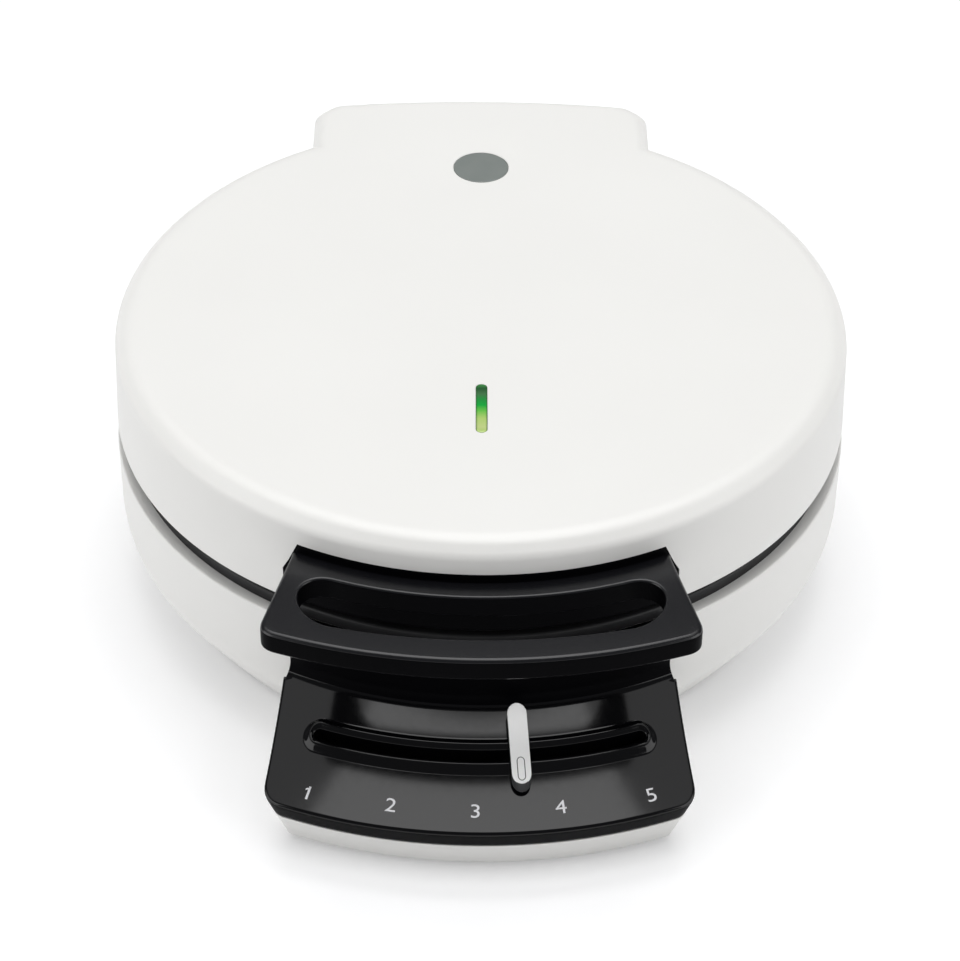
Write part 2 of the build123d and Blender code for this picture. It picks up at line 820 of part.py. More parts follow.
def make_indicator_lamp():
    height = roof - lens_flange_thickness - lamp_box_height + lamp_box_wall + lamp_radius * cos(radians(22.5))
    tube = extrude(RegularPolygon(lamp_radius, 8, rotation=22.5), lamp_length / 2, both=True)
    return Pos(0, lens_y, height) * Rot(90, 0, 0) * tube


parts = {
    "base_housing": make_base_housing(),
    "control_cover": make_control_cover(),
    "rubber_feet": make_rubber_feet(),
    "cord_gland": make_cord_gland(),
    "lower_plate": make_plate(lower_rim_radius),
    "lower_heating_element": make_heating_element(),
    "lower_heat_shield": make_heat_shield(),
    "thermostat": make_thermostat(),
    "thermostat_bracket": make_thermostat_bracket(),
    "thermal_fuse": make_thermal_fuse(),
    "terminal_block": make_terminal_block(),
    "hinge_pins": make_hinge_pins(),
    "thermostat_shaft": make_thermostat_shaft(),
    "slider_lever": make_slider_lever(),
    "slider_knob": make_slider_knob(),
    "lid_housing": make_lid_housing(),
    "handle": make_handle(),
    "upper_plate": upper(make_plate(upper_rim_radius)),
    "upper_heating_element": upper(make_heating_element()),
    "upper_heat_shield": upper(make_heat_shield()),
    "upper_thermal_fuse": upper(make_thermal_fuse()),
    "lamp_lens": make_lamp_lens(),
    "lamp_holder": make_lamp_holder(),
    "indicator_lamp": make_indicator_lamp(),
}

# The finished part stands on z = 0, centred in plan on its overall box
extent = group(parts.values()).bounding_box()
to_frame = Pos(-(extent.min.X + extent.max.X) / 2, -(extent.min.Y + extent.max.Y) / 2, -extent.min.Z)
os.makedirs("parts", exist_ok=True)
for name, shape in parts.items():
    export_step(to_frame * shape, f"parts/{name}.step")
print("plate axis at y =", round(-(extent.min.Y + extent.max.Y) / 2, 4), "size", extent.size)
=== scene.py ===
import bpy
import bmesh
from math import asin, atan2, cos, hypot, pi, radians, sin, sqrt, tan
from mathutils import Matrix, Vector
from mathutils.geometry import delaunay_2d_cdt


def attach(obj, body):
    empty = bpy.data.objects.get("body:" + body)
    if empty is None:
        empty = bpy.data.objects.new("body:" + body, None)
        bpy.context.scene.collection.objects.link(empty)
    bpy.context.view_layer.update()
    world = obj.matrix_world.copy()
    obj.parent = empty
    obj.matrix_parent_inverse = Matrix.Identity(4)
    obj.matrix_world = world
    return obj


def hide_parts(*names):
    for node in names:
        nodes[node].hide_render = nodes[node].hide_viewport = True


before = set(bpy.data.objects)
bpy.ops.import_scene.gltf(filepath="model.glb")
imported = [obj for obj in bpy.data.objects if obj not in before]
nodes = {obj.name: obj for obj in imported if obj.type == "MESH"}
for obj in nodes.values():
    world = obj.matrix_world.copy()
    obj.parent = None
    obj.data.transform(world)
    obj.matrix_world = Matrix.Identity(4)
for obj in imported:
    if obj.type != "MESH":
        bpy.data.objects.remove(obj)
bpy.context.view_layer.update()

# Lengths below are millimetres, with the axis of the round plates at x = y = 0.
axis_y = 13.0462
lid_edge_radius = 122.5
lid_rim_radius = 123.6
lid_rim = 67.4
lid_top = 101.2
shoulder = 96.7
bevel_width = 4.3
neck_half = 61.3
neck_bevel_share = 0.72
neck_rear = 136.9
neck_bulge = 3.5
neck_corner = 5.7
hinge_y = 127.6
hinge_z = 63.0
base_radius = 124.0
ledge_z = 58.6
parting = 63.05
slot_radius = 142.1
slot_half_width = 1.8
slot_half_angle = radians(21.6) - slot_half_width / slot_radius
crease_radius = 165.1
apron_radius = 126.4
apron_inner = 120.4
apron_top = 58.95
rest_angle = 4.9
hinge_radius = 6.2
bottom_z = 1.5
plate_face = parting - 0.25
lens_y = -53.4
lens_length = 25.6
badge_y = 88.4
root_half = 58.9


def point(x, y, z):
    """Place in the shared frame, in metres."""
    return Vector((x / 1000, (y + axis_y) / 1000, z / 1000))


def build(name, verts, faces, mat, body, sharp=35):
    """Mesh piece from millimetre corners, shaded smooth up to the sharp angle, riding on a body."""
    mesh = bpy.data.meshes.new(name)
    mesh.from_pydata([point(*v) for v in verts], [], faces)
    mesh.validate()
    work = bmesh.new()
    work.from_mesh(mesh)
    bmesh.ops.remove_doubles(work, verts=work.verts, dist=2e-6)
    bmesh.ops.recalc_face_normals(work, faces=work.faces)
    work.to_mesh(mesh)
    work.free()
    piece = bpy.data.objects.new(name, mesh)
    bpy.context.scene.collection.objects.link(piece)
    mesh.materials.append(mat)
    finish_shading(piece, sharp)
    if body:
        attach(piece, body)
    return piece


def finish_shading(piece, sharp):
    """Smooth faces with sharp edges beyond an angle, and normals weighted by area."""
    mesh = piece.data
    mesh.polygons.foreach_set("use_smooth", [True] * len(mesh.polygons))
    mesh.set_sharp_from_angle(angle=radians(sharp))
    even = piece.modifiers.new("even shading", "WEIGHTED_NORMAL")
    even.keep_sharp = True


def evaluated_mesh(piece):
    bpy.context.view_layer.update()
    graph = bpy.context.evaluated_depsgraph_get()
    return bpy.data.meshes.new_from_object(piece.evaluated_get(graph))


def cut(piece, tools, operation="DIFFERENCE", sharp=35):
    """Joins the tools to the piece or takes them away, and removes the tools."""
    piece.modifiers.clear()
    for tool in tools:
        work = piece.modifiers.new("cut", "BOOLEAN")
        work.operation = operation
        work.solver = "EXACT"
        work.object = tool
        done = evaluated_mesh(piece)
        piece.modifiers.clear()
        old = piece.data
        piece.data = done
        bpy.data.meshes.remove(old)
    for tool in tools:
        bpy.data.objects.remove(tool)
    finish_shading(piece, sharp)


def bridge(loops, closed=True):
    """Quads between loops with equal counts, and the flat list of their corners."""
    count = len(loops[0])
    verts = [v for loop in loops for v in loop]
    faces = []
    for row in range(len(loops) - 1):
        for i in range(count if closed else count - 1):
            j = (i + 1) % count
            a = row * count
            faces.append((a + i, a + j, a + count + j, a + count + i))
    return verts, faces


def add_faces(verts, faces, more, quads):
    """Adds a second list of corners and its faces to the first."""
    start = len(verts)
    verts += more
    faces += [tuple(i + start for i in quad) for quad in quads]


def shell(name, loops, mat, body, sharp=35):
    """Closed piece from stacked loops, with a flat cap at each end."""
    verts, faces = bridge(loops)
    count = len(loops[0])
    faces.append(tuple(range(count)))
    faces.append(tuple(reversed(range(len(verts) - count, len(verts)))))
    return build(name, verts, faces, mat, body, sharp)


def curve_between(a, corner, b, count):
    """Points of a soft bend from a to b round a corner, both ends included."""
    places = []
    for i in range(count + 1):
        t = i / count
        u = 1 - t
        mixed = (u * u * p + 2 * u * t * q + t * t * r for p, q, r in zip(a, corner, b))
        places.append(tuple(mixed))
    return places


def toward(a, b, distance):
    """Point at a distance from a on the way to b."""
    length = hypot(b[0] - a[0], b[1] - a[1])
    return a[0] + (b[0] - a[0]) * distance / length, a[1] + (b[1] - a[1]) * distance / length


def rounded(path, radius_at, steps=6):
    """Closed polygon with its corners rounded; radius_at gives each corner's tangent length."""
    out = []
    for i, corner in enumerate(path):
        size = radius_at[i]
        if not size:
            out.append(corner)
            continue
        before = toward(corner, path[i - 1], size)
        after = toward(corner, path[(i + 1) % len(path)], size)
        out.extend(curve_between(before, corner, after, steps))
    return out


def offset(loop, distance):
    """Closed loop moved to its left by distance; for a counter-clockwise loop that is inwards."""
    out = []
    count = len(loop)
    for i in range(count):
        ax, ay = loop[i - 1]
        bx, by = loop[i]
        cx, cy = loop[(i + 1) % count]
        first = Vector((bx - ax, by - ay)).normalized()
        second = Vector((cx - bx, cy - by)).normalized()
        n1 = Vector((-first.y, first.x))
        n2 = Vector((-second.y, second.x))
        middle = n1 + n2
        if middle.length < 1e-6:
            middle = n1
        middle.normalize()
        reach = distance / max(0.35, middle.dot(n1))
        out.append((bx + middle.x * reach, by + middle.y * reach))
    return out


def inside(place, loop):
    """Whether a point lies inside a closed loop."""
    x, y = place
    hit = False
    count = len(loop)
    for i in range(count):
        x1, y1 = loop[i - 1]
        x2, y2 = loop[i]
        if (y1 > y) != (y2 > y) and x < (x2 - x1) * (y - y1) / (y2 - y1) + x1:
            hit = not hit
    return hit


def sheet_mesh(loops, extra, outer, holes):
    """Triangles between constraint loops, inside outer and outside the holes.

    Each loop and each extra point carries (x, y, z). A corner that the triangulation adds takes
    the height of the nearest point given.
    """
    flat = []
    heights = []
    edges = []
    for loop in loops:
        start = len(flat)
        flat.extend(Vector((p[0], p[1])) for p in loop)
        heights.extend(p[2] for p in loop)
        edges.extend((start + i, start + (i + 1) % len(loop)) for i in range(len(loop)))
    flat.extend(Vector((p[0], p[1])) for p in extra)
    heights.extend(p[2] for p in extra)
    verts, _, faces, sources, _, _ = delaunay_2d_cdt(flat, edges, [], 0, 1e-5)
    out = []
    for v, source in zip(verts, sources):
        if not source:
            source = [min(range(len(flat)), key=lambda i: (flat[i] - v).length_squared)]
        out.append((v.x, v.y, heights[source[0]]))
    kept = []
    for face in faces:
        cx = sum(out[i][0] for i in face) / len(face)
        cy = sum(out[i][1] for i in face) / len(face)
        if inside((cx, cy), outer) and not any(inside((cx, cy), hole) for hole in holes):
            kept.append(tuple(face))
    return out, kept


# Materials

def material(name):
    mat = bpy.data.materials.new(name)
    mat.use_nodes = True
    tree = mat.node_tree
    return mat, tree, tree.nodes["Principled BSDF"]


def grain(tree, shader, scale, strength, distance, detail=3.0, stretch=None):
    """Fine moulded or brushed surface from noise in object space, as a bump."""
    place = tree.nodes.new("ShaderNodeTexCoord")
    noise = tree.nodes.new("ShaderNodeTexNoise")
    noise.inputs["Scale"].default_value = scale
    noise.inputs["Detail"].default_value = detail
    source = place.outputs["Object"]
    if stretch:
        mapping = tree.nodes.new("ShaderNodeMapping")
        mapping.inputs["Scale"].default_value = stretch
        mapping.inputs["Rotation"].default_value = (0, 0, radians(-rest_angle))
        tree.links.new(source, mapping.inputs["Vector"])
        source = mapping.outputs["Vector"]
    tree.links.new(source, noise.inputs["Vector"])
    bump = tree.nodes.new("ShaderNodeBump")
    bump.inputs["Strength"].default_value = strength
    bump.inputs["Distance"].default_value = distance
    tree.links.new(noise.outputs["Fac"], bump.inputs["Height"])
    tree.links.new(bump.outputs["Normal"], shader.inputs["Normal"])
    return noise


def tint(tree, shader, noise_scale, dark, light):
    """Slow, slight variation of the base colour."""
    place = tree.nodes.new("ShaderNodeTexCoord")
    noise = tree.nodes.new("ShaderNodeTexNoise")
    noise.inputs["Scale"].default_value = noise_scale
    noise.inputs["Detail"].default_value = 2.0
    ramp = tree.nodes.new("ShaderNodeValToRGB")
    ramp.color_ramp.elements[0].position = 0.3
    ramp.color_ramp.elements[1].position = 0.7
    ramp.color_ramp.elements[0].color = (*dark, 1)
    ramp.color_ramp.elements[1].color = (*light, 1)
    tree.links.new(place.outputs["Object"], noise.inputs["Vector"])
    tree.links.new(noise.outputs["Fac"], ramp.inputs["Fac"])
    tree.links.new(ramp.outputs["Color"], shader.inputs["Base Color"])
    return ramp


def vary_roughness(tree, shader, noise, low, high):
    spread = tree.nodes.new("ShaderNodeMapRange")
    spread.inputs["To Min"].default_value = low
    spread.inputs["To Max"].default_value = high
    tree.links.new(noise.outputs["Fac"], spread.inputs["Value"])
    tree.links.new(spread.outputs["Result"], shader.inputs["Roughness"])


def plastic(name, dark, light, rough, scale, strength, distance, tint_scale=14.0, level=None):
    """Moulded or coated surface; level is the strength of its mirror reflection."""
    mat, tree, shader = material(name)
    if level is not None:
        shader.inputs["Specular IOR Level"].default_value = level
    noise = grain(tree, shader, scale, strength, distance)
    tint(tree, shader, tint_scale, dark, light)
    vary_roughness(tree, shader, noise, rough - 0.03, rough + 0.03)
    return mat


white = plastic(
    "white_shell", (0.83, 0.825, 0.8), (0.845, 0.84, 0.815), 0.4, 900, 0.25, 0.00006)
black_gloss = plastic(
    "black_gloss", (0.0012, 0.0012, 0.0016), (0.0018, 0.0018, 0.0024), 0.1, 500, 0.05, 0.00002,
    level=0.34)
# Painted shade: the black plastic with almost no mirror reflection, for upright faces in front and
# the apron under the handle, which lie in shade.
black_painted_shade = plastic(
    "black_painted_shade", (0.0012, 0.0012, 0.0016), (0.002, 0.002, 0.0026), 0.4, 900, 0.2, 0.00004,
    level=0.02)
black_satin = plastic(
    "black_satin", (0.0052, 0.0053, 0.0066), (0.0064, 0.0065, 0.008), 0.24, 1300, 0.25, 0.00004,
    level=0.45)
black_inner = plastic(
    "black_inner", (0.012, 0.012, 0.013), (0.017, 0.017, 0.018), 0.5, 900, 0.3, 0.00006)
rubber = plastic("rubber", (0.02, 0.02, 0.021), (0.028, 0.028, 0.029), 0.7, 700, 0.5, 0.0001)
ceramic = plastic("ceramic", (0.72, 0.69, 0.62), (0.78, 0.75, 0.69), 0.6, 500, 0.4, 0.0001)
coating = plastic(
    "nonstick", (0.013, 0.013, 0.014), (0.02, 0.02, 0.021), 0.42, 1600, 0.5, 0.00008, 60.0, 0.25)
grey_disc = plastic(
    "badge_grey", (0.19, 0.212, 0.2), (0.215, 0.235, 0.223), 0.32, 900, 0.2, 0.00005, 90.0)
print_white = plastic(
    "printed_number", (0.74, 0.74, 0.76), (0.78, 0.78, 0.8), 0.5, 900, 0.1, 0.00003)
knob_side = plastic(
    "knob_side", (0.03, 0.031, 0.033), (0.042, 0.043, 0.045), 0.45, 900, 0.3, 0.00005)


def metal(name, colour, rough, stretch, scale=400, strength=0.3, metallic=1.0):
    """Brushed surface, with its grain drawn out along the stretch."""
    mat, tree, shader = material(name)
    shader.inputs["Metallic"].default_value = metallic
    noise = grain(tree, shader, scale, strength, 0.00005, 4.0, stretch)
    tint(tree, shader, 40.0, [c * 0.94 for c in colour], colour)
    vary_roughness(tree, shader, noise, rough - 0.06, rough + 0.08)
    return mat


steel = metal("steel", (0.6, 0.6, 0.61), 0.35, (1, 12, 1))
pin_steel = metal("pin_steel", (0.66, 0.66, 0.67), 0.25, (0.1, 1, 1))
silver = metal("brushed_silver", (0.89, 0.89, 0.88), 0.5, (3, 1, 1), 900, 0.35, 0.05)


def lens_green():
    """Green window with painted light: a bright yellowish painted glow at its low end, darker
    towards its top, and painted shade along its long edges.
    """
    mat, tree, shader = material("lens_green")
    place = tree.nodes.new("ShaderNodeTexCoord")
    split = tree.nodes.new("ShaderNodeSeparateXYZ")
    spread = tree.nodes.new("ShaderNodeMapRange")
    spread.inputs["From Min"].default_value = (lens_y - lens_length / 2 + axis_y) / 1000
    spread.inputs["From Max"].default_value = (lens_y + lens_length / 2 + axis_y) / 1000
    ramp = tree.nodes.new("ShaderNodeValToRGB")
    marks = ramp.color_ramp.elements
    marks[0].position = 0.0
    marks[0].color = (0.38, 0.56, 0.13, 1)
    marks[1].position = 1.0
    marks[1].color = (0.06, 0.3, 0.07, 1)
    # Painted glow: bright yellowish green at the low end, running to dark green at the top.
    painted_glow_stops = (
        (0.1, (0.52, 0.62, 0.24, 1)),
        (0.28, (0.42, 0.6, 0.16, 1)),
        (0.44, (0.12, 0.5, 0.06, 1)),
        (0.55, (0.0, 0.37, 0.04, 1)),
        (0.68, (0.01, 0.26, 0.04, 1)),
        (0.78, (0.05, 0.17, 0.06, 1)),
        (0.9, (0.012, 0.09, 0.02, 1)),
    )
    for position, colour in painted_glow_stops:
        marks.new(position).color = colour
    # Painted shade along the long edges: the colour darkens with the distance from the lens's
    # middle line.
    side = tree.nodes.new("ShaderNodeMath")
    side.operation = "ABSOLUTE"
    edge = tree.nodes.new("ShaderNodeMapRange")
    edge.inputs["From Min"].default_value = 0.0012
    edge.inputs["From Max"].default_value = 0.0019
    edge.inputs["To Min"].default_value = 0.0
    edge.inputs["To Max"].default_value = 0.75
    painted_edge_shade = tree.nodes.new("ShaderNodeMix")
    painted_edge_shade.data_type = "RGBA"
    painted_edge_shade.inputs["B"].default_value = (0.01, 0.12, 0.02, 1)
    tree.links.new(place.outputs["Object"], split.inputs["Vector"])
    tree.links.new(split.outputs["X"], side.inputs[0])
    tree.links.new(side.outputs[0], edge.inputs["Value"])
    tree.links.new(edge.outputs["Result"], painted_edge_shade.inputs["Factor"])
    tree.links.new(split.outputs["Y"], spread.inputs["Value"])
    tree.links.new(spread.outputs["Result"], ramp.inputs["Fac"])
    tree.links.new(ramp.outputs["Color"], painted_edge_shade.inputs["A"])
    tree.links.new(painted_edge_shade.outputs["Result"], shader.inputs["Base Color"])
    shader.inputs["Roughness"].default_value = 0.12
    shader.inputs["Coat Weight"].default_value = 0.6
    return mat


green = lens_green()


# Lid

def lid_radius(z):
    """Radius of the lid's leaning wall at a height."""
    flare = lid_rim_radius - lid_edge_radius
    return lid_edge_radius + flare * (shoulder - z) / (shoulder - lid_rim)


def round_with_neck(radius, half, rear_inset, z):
    """Loop of a circle joined to the neck behind it, counter-clockwise from above."""
    corner_x = half - neck_corner
    corner_y = neck_rear - neck_bulge - rear_inset
    side_y = corner_y - neck_corner
    cut_off = 2.2
    join = sqrt(radius * radius - half * half)
    start = atan2(join, -half)
    sweep = 2 * pi - 2 * (start - pi / 2)
    loop = []
    for i in range(257):
        angle = start + sweep * i / 256
        loop.append((radius * cos(angle), radius * sin(angle)))
    back = rounded(
        [(half, join - 1), (half, side_y), (corner_x, corner_y), (0, neck_rear - rear_inset)],
        [0, cut_off, cut_off, 0],
        5,
    )
    right = back[1:-1]
    loop += right
    end_x = corner_x - cut_off
    mid = neck_rear - rear_inset
    for i in range(1, 12):
        x = end_x - 2 * end_x * i / 12
        loop.append((x, mid - neck_bulge * (x / corner_x) ** 2))
    loop += [(-x, y) for x, y in reversed(right)]
    return [(x, y, z) for x, y in loop]


def lid_loops():
    """Loops of the lid from its hollow, round the rim and up to the flat top."""
    loops = [round_with_neck(119.5, neck_half - 2.4, 2.4, z) for z in (98.2, lid_rim + 0.5)]
    loops.append(round_with_neck(119.9, neck_half - 2.0, 2.0, lid_rim))
    profile = [(0.5, lid_rim), (0.15, lid_rim + 0.15), (0, lid_rim + 0.5)]
    profile += [(0, 75), (0, 85), (0, 93)]
    run = hypot(bevel_width, lid_top - shoulder)
    slope = (bevel_width / run, (lid_top - shoulder) / run)
    low = (1.7 * slope[0], shoulder + 1.7 * slope[1])
    profile += curve_between((0, shoulder - 1.7), (0, shoulder), low, 6)
    high = (bevel_width - 2.4 * slope[0], lid_top - 2.4 * slope[1])
    profile += curve_between(high, (bevel_width, lid_top), (bevel_width + 3.4, lid_top), 9)
    profile += [(bevel_width + 6, lid_top)]
    for inset, z in profile:
        radius = lid_radius(min(z, shoulder)) - inset
        share = inset * neck_bevel_share
        loops.append(round_with_neck(radius, neck_half - share, share, z))
    return loops


def prism(name, outline, low, high):
    """Upright prism, as a cutting tool."""
    loops = [[(x, y, low) for x, y in outline], [(x, y, high) for x, y in outline]]
    return shell(name, loops, white, None)


def stadium(length, width, cx, cy, steps=24):
    """Closed slot outline along Y."""
    radius = width / 2
    half = length / 2 - radius
    loop = []
    for i in range(steps + 1):
        angle = pi * i / steps
        loop.append((cx + radius * cos(angle), cy + half + radius * sin(angle)))
    for i in range(steps + 1):
        angle = pi + pi * i / steps
        loop.append((cx + radius * cos(angle), cy - half + radius * sin(angle)))
    return loop


def circle(radius, cx, cy, steps=96):
    angles = [2 * pi * i / steps for i in range(steps)]
    return [(cx + radius * cos(angle), cy + radius * sin(angle)) for angle in angles]


def side_wedge(name, outline, near, far):
    """Prism along Y from an (x, z) outline, as a cutting tool."""
    loops = [[(x, near, z) for x, z in outline], [(x, far, z) for x, z in outline]]
    return shell(name, loops, white, None)


lid = shell("lid_shell", lid_loops(), white, "lid", 38)
flange_side = [(-56.95, 90.25), (-59.9, 83.0), (-61.85, 79.0), (-61.85, 60)]
flange_outline = flange_side + [(-x, z) for x, z in reversed(flange_side)]
cut(lid, [
    prism("lens_cut", stadium(lens_length + 0.1, 3.83, 0, lens_y), 90, 110),
    prism("badge_cut", circle(9.95, 0, badge_y), lid_top - 0.5, 110),
    side_wedge("handle_cut", flange_outline, -140, -100),
], sharp=38)
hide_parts("lid_housing")


def soft_disc(name, outline, low, high, edge, mat, body, dome):
    """Low flat piece with a softly rounded upper edge."""
    loops = [[(x, y, low) for x, y in outline]]
    for i in range(5):
        angle = pi / 2 * i / 4
        shift = edge * (1 - cos(angle))
        z = high - edge + edge * sin(angle)
        loops.append([(x, y, z) for x, y in offset(outline, shift)])
    loops.append([(x, y, high + dome) for x, y in offset(outline, edge * 1.8)])
    return shell(name, loops, mat, body, 50)


soft_disc(
    "badge_disc", circle(9.8, 0, badge_y), lid_top - 0.6, lid_top + 0.12, 0.3, grey_disc,
    "lid", 0.02)
lens = soft_disc(
    "lens_window", stadium(lens_length, 3.75, 0, lens_y), lid_top - 3, lid_top + 0.18, 0.5, green,
    "lid", 0.05)
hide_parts("lamp_lens")


# Hinge: two eyes under the lid's neck and the barrel between them on the base

def eye_profile(radius, top):
    """(y, z) outline of an upright with a round lower end about the hinge axis."""
    steps = 20
    profile = [(hinge_y - radius, top)]
    for i in range(steps + 1):
        angle = pi + pi * i / steps
        profile.append((hinge_y + radius * cos(angle), hinge_z + radius * sin(angle)))
    profile.append((hinge_y + radius, top))
    return profile


def along_x(name, profile, start, end, mat, body, edge=0.6):
    """Piece along X from a (y, z) profile, with its end edges bevelled."""
    loops = []
    inner = offset(profile, edge)
    for x, loop in ((start, inner), (start + edge, profile), (end - edge, profile), (end, inner)):
        loops.append([(x, y, z) for y, z in loop])
    return shell(name, loops, mat, body, 40)


for side, label in ((-1, "left"), (1, "right")):
    low_x, high_x = sorted((side * 44.5, side * 55.0))
    along_x("hinge_eye_" + label, eye_profile(hinge_radius, 80.0), low_x, high_x, white, "lid")


# Heart plates

def heart_outline(inset):
    """One heart drawn in by inset, counter-clockwise, tip near the axis and lobes towards +Y."""
    steps = 30
    half = radians(36)
    wall = 1.7 + inset
    lobe = Vector((20.5, 67.5))
    inward = Vector((-cos(half), sin(half)))
    lobe_radius = lobe.dot(inward) - wall
    touch = lobe - inward * lobe_radius
    tip_y = wall / sin(half)
    full_radius = lobe_radius + max(0.0, inset)
    cusp_y = lobe.y + sqrt(full_radius ** 2 - lobe.x ** 2)
    start = atan2(touch.y - lobe.y, touch.x - lobe.x)
    end = atan2(cusp_y - lobe.y, -lobe.x)
    right = []
    for i in range(steps + 1):
        angle = start + (end - start) * i / steps
        right.append((lobe.x + lobe_radius * cos(angle), lobe.y + lobe_radius * sin(angle)))
    if inset > 0:
        for i in range(1, 7):
            angle = (end - pi) * (1 - i / 6) - pi / 2 * i / 6
            right.append((inset * cos(angle), cusp_y + inset * sin(angle)))
    tip_half = 1.6
    tip_mid = tip_y + tip_half / tan(half)
    tip = curve_between((-tip_half, tip_mid), (0, tip_y), (tip_half, tip_mid), 6)
    length = hypot(right[0][0] - tip[-1][0], right[0][1] - tip[-1][1])
    straight = []
    for i in range(1, 16):
        straight.append(toward(tip[-1], right[0], length * i / 16))
    left = [(-x, y) for x, y in reversed(right[:-1])]
    other = [(-x, y) for x, y in reversed(straight)]
    return tip + straight + right + left + other


def square(size, cx, cy, corner):
    half = size / 2
    signs = ((-1, -1), (1, -1), (1, 1), (-1, 1))
    return rounded([(cx + sx * half, cy + sy * half) for sx, sy in signs], [corner] * 4, 4)


def pad_centres():
    """Centres of the pads of a square grid that lie wholly inside the heart's floor."""
    outline = heart_outline(1.9)
    pitch = 16.0
    first_row = 33.0
    reach = 5.6
    places = []
    for row in range(7):
        for column in range(-3, 4):
            x = column * pitch
            y = first_row + row * pitch
            corners = [(x + sx * reach, y + sy * reach) for sx in (-1, 1) for sy in (-1, 1)]
            if all(inside(corner, outline) for corner in corners):
                places.append((x, y))
    return places


def spin(loop, angle):
    """Loop turned about the plate axis."""
    c = cos(angle)
    s = sin(angle)
    return [(p[0] * c - p[1] * s, p[0] * s + p[1] * c, *p[2:]) for p in loop]


def plate_surface(rim_radius):
    """Top of a plate as constraint loops: hearts with draft and rounded edges, pads with draft."""
    face = plate_face
    floor = face - 6.8
    loops = []
    heart_rings = [
        (-0.5, face), (-0.15, face - 0.08), (0.15, face - 0.5),
        (1.05, floor + 0.9), (1.35, floor + 0.25), (2.0, floor),
    ]
    pad_rings = [
        (11.9, floor, 2.2), (11.1, floor + 0.3, 2.0), (10.6, floor + 1.0, 1.8),
        (9.25, floor + 3.5, 1.5), (8.7, floor + 3.83, 1.3), (7.9, floor + 3.9, 1.0),
    ]
    pads = pad_centres()
    for step in range(5):
        turn = 2 * pi / 5 * step
        for shift, z in heart_rings:
            loops.append(spin([(x, y, z) for x, y in heart_outline(shift)], turn))
        for x, y in pads:
            for size, z, corner in pad_rings:
                loops.append(spin([(px, py, z) for px, py in square(size, x, y, corner)], turn))
    rings = [(rim_radius - 0.9, face), (rim_radius - 5, face), (104.0, face)]
    for radius, z in rings:
        loops.append([(x, y, z) for x, y in circle(radius, 0, 0, 240)])
    outer = circle(rim_radius - 0.9, 0, 0, 240)
    return sheet_mesh(loops, [], outer, [])


def plate_piece(name, rim_radius, flip, body):
    """Cooking plate with its rim and its closed back; flip turns it over for the lid."""
    face = plate_face
    verts, faces = plate_surface(rim_radius)
    rim = [(rim_radius - 0.9, face), (rim_radius - 0.27, face - 0.25), (rim_radius, face - 0.9),
           (rim_radius, ledge_z), (102.1, ledge_z), (102.1, 53.0), (101.1, 52.0)]
    loops = [[(x, y, z) for x, y in circle(radius, 0, 0, 240)] for radius, z in rim]
    add_faces(verts, faces, *bridge(loops))
    faces.append(tuple(range(len(verts) - 240, len(verts))))
    if flip:
        verts = [(x, y, 2 * parting - z) for x, y, z in verts]
    return build(name, verts, faces, coating, body, 55)


lower = plate_piece("lower_cooking_plate", 120.0, False, "base")
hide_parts("lower_plate")
upper = plate_piece("upper_cooking_plate", 118.5, True, "lid")
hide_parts("upper_plate")


# Control deck

def deck(radius):
    """Height of the deck, which rises in a soft curve from its front crease."""
    s = crease_radius - radius
    return 20.5 + 0.4377 * s + 0.00233 * s * s


def deck_side(z, y):
    """Half width of the tongue under the deck at a height and a place along it."""
    return 11.9 - 0.334 * y + 0.353 * (z - 1.5)


def tongue_loop(drop, inset, rear, corner=None, level=None):
    """Open outline of the tongue from its left rear to its right rear.

    Its height is the deck's top lowered by drop, or the given level.
    """
    def height(radius):
        return level if level is not None else deck(radius) - drop

    def edge_x(y):
        x = 60.0
        for _ in range(12):
            x = deck_side(height(hypot(x, y)), y) - inset * 1.055
        return x

    front = crease_radius
    for _ in range(20):
        front = 158.4 + 0.352 * (height(front) - 1.5) - inset * 1.06
    y = -150.0
    for _ in range(40):
        y = -sqrt(front * front - edge_x(y) ** 2)
    corner_y = y
    corner_x = edge_x(y)
    z_corner = height(front)
    tangent = corner if corner is not None else max(1.2, 6.0 - 0.24 * (20.5 - z_corner))
    y_rear = -100.0
    for _ in range(40):
        y_rear = -sqrt(rear * rear - edge_x(y_rear) ** 2)
    side = []
    y_stop = corner_y + tangent * 0.95
    for i in range(31):
        y = y_rear + (y_stop - y_rear) * i / 30
        side.append((-edge_x(y), y))
    angle_corner = asin(corner_x / front)
    angle_stop = angle_corner - tangent / front
    first = (-front * sin(angle_stop), -front * cos(angle_stop))
    bend = curve_between(side[-1], (-corner_x, corner_y), first, 8)[1:]
    arc = []
    for i in range(1, 48):
        angle = -angle_stop + 2 * angle_stop * i / 48
        arc.append((front * sin(angle), -front * cos(angle)))
    left = side + bend
    plan = left + arc + [(-x, y) for x, y in reversed(left)]
    return [(x, y, height(hypot(x, y))) for x, y in plan]


